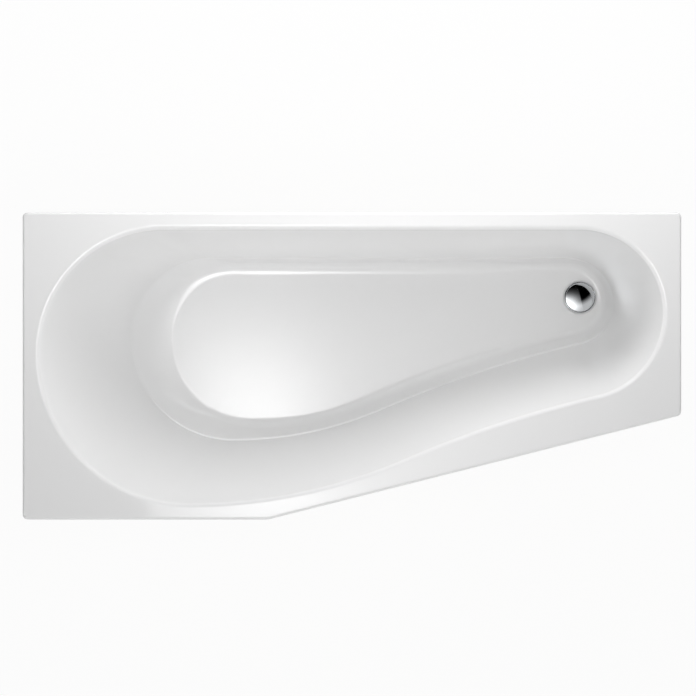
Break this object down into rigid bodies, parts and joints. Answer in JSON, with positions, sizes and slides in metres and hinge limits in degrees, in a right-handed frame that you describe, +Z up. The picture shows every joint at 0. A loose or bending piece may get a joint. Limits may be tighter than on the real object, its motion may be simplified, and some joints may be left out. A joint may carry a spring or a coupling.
{
  "type": "bathtub",
  "caption": "Asymmetric acrylic bathtub that narrows towards its waste end, with a sloped backrest, chrome click waste, trap and levelling feet.",
  "frame": {"origin": "on the floor, under the centre of the rim's rectangle", "axes": "+X towards the waste end, +Y towards the long straight wall side, +Z up"},
  "size_m": [1.5, 0.7, 0.57],
  "materials": {
    "white_acrylic": "polished white acrylic",
    "glass_fibre": "bare laminate",
    "board": "chipboard",
    "galvanised_steel": "galvanised",
    "zinc_steel": "zinc plated",
    "black_plastic": "moulded",
    "chrome": "polished chrome",
    "brass": "turned",
    "seal_rubber": "matt",
    "white_plastic": "moulded"
  },
  "bodies": {
    "bath": {"bath_shell": "white_acrylic", "fibreglass_backing": "glass_fibre", "base_board": "board", "head_rail": "galvanised_steel", "foot_rail": "galvanised_steel", "waste_flange": "chrome", "flange_seal": "seal_rubber", "under_seal": "seal_rubber", "back_nut": "brass", "click_cartridge": "brass", "trap_union_nut": "white_plastic", "trap_washer": "seal_rubber"},
    "plug": {"plug_cap": "chrome", "plug_seal": "seal_rubber", "plug_plunger": "brass"},
    "trap": {"trap_body": "white_plastic", "cleaning_cap": "white_plastic", "cleaning_cap_seal": "seal_rubber"},
    "foot_1": {"threaded_rod_1": "zinc_steel", "foot_pad_1": "black_plastic"},
    "nuts_1": {"levelling_nuts_1": "zinc_steel"},
    "foot_2": {"threaded_rod_2": "zinc_steel", "foot_pad_2": "black_plastic"},
    "nuts_2": {"levelling_nuts_2": "zinc_steel"},
    "foot_3": {"threaded_rod_3": "zinc_steel", "foot_pad_3": "black_plastic"},
    "nuts_3": {"levelling_nuts_3": "zinc_steel"},
    "foot_4": {"threaded_rod_4": "zinc_steel", "foot_pad_4": "black_plastic"},
    "nuts_4": {"levelling_nuts_4": "zinc_steel"}
  },
  "joints": [
    {"name": "plug_lift", "type": "slide", "parent": "bath", "child": "plug", "axis": [0, 0, 1], "range_m": [0, 0.009]},
    {"name": "trap_swivel", "type": "hinge", "parent": "bath", "child": "trap", "pos_m": [0.545, 0.162, 0.117], "axis": [0, 0, 1], "range_deg": [-90, 90]},
    {"name": "nuts_1_turn", "type": "hinge", "parent": "bath", "child": "nuts_1", "pos_m": [-0.33, 0.285, 0.1475], "axis": [0, 0, 1], "range_deg": [-3090, 3090]},
    {"name": "foot_1_height", "type": "slide", "parent": "bath", "child": "foot_1", "axis": [0, 0, 1], "range_m": [-0.015, 0.015]},
    {"name": "nuts_2_turn", "type": "hinge", "parent": "bath", "child": "nuts_2", "pos_m": [-0.33, -0.25, 0.1475], "axis": [0, 0, 1], "range_deg": [-3090, 3090]},
    {"name": "foot_2_height", "type": "slide", "parent": "bath", "child": "foot_2", "axis": [0, 0, 1], "range_m": [-0.015, 0.015]},
    {"name": "nuts_3_turn", "type": "hinge", "parent": "bath", "child": "nuts_3", "pos_m": [0.33, 0.285, 0.1475], "axis": [0, 0, 1], "range_deg": [-3090, 3090]},
    {"name": "foot_3_height", "type": "slide", "parent": "bath", "child": "foot_3", "axis": [0, 0, 1], "range_m": [-0.015, 0.015]},
    {"name": "nuts_4_turn", "type": "hinge", "parent": "bath", "child": "nuts_4", "pos_m": [0.33, -0.13011, 0.1475], "axis": [0, 0, 1], "range_deg": [-3090, 3090]},
    {"name": "foot_4_height", "type": "slide", "parent": "bath", "child": "foot_4", "axis": [0, 0, 1], "range_m": [-0.015, 0.015]}
  ],
  "couplings": [
    {"joint": "nuts_1_turn", "follows": "foot_1_height", "rad_per_m": -3590.4},
    {"joint": "nuts_2_turn", "follows": "foot_2_height", "rad_per_m": -3590.4},
    {"joint": "nuts_3_turn", "follows": "foot_3_height", "rad_per_m": -3590.4},
    {"joint": "nuts_4_turn", "follows": "foot_4_height", "rad_per_m": -3590.4}
  ]
}
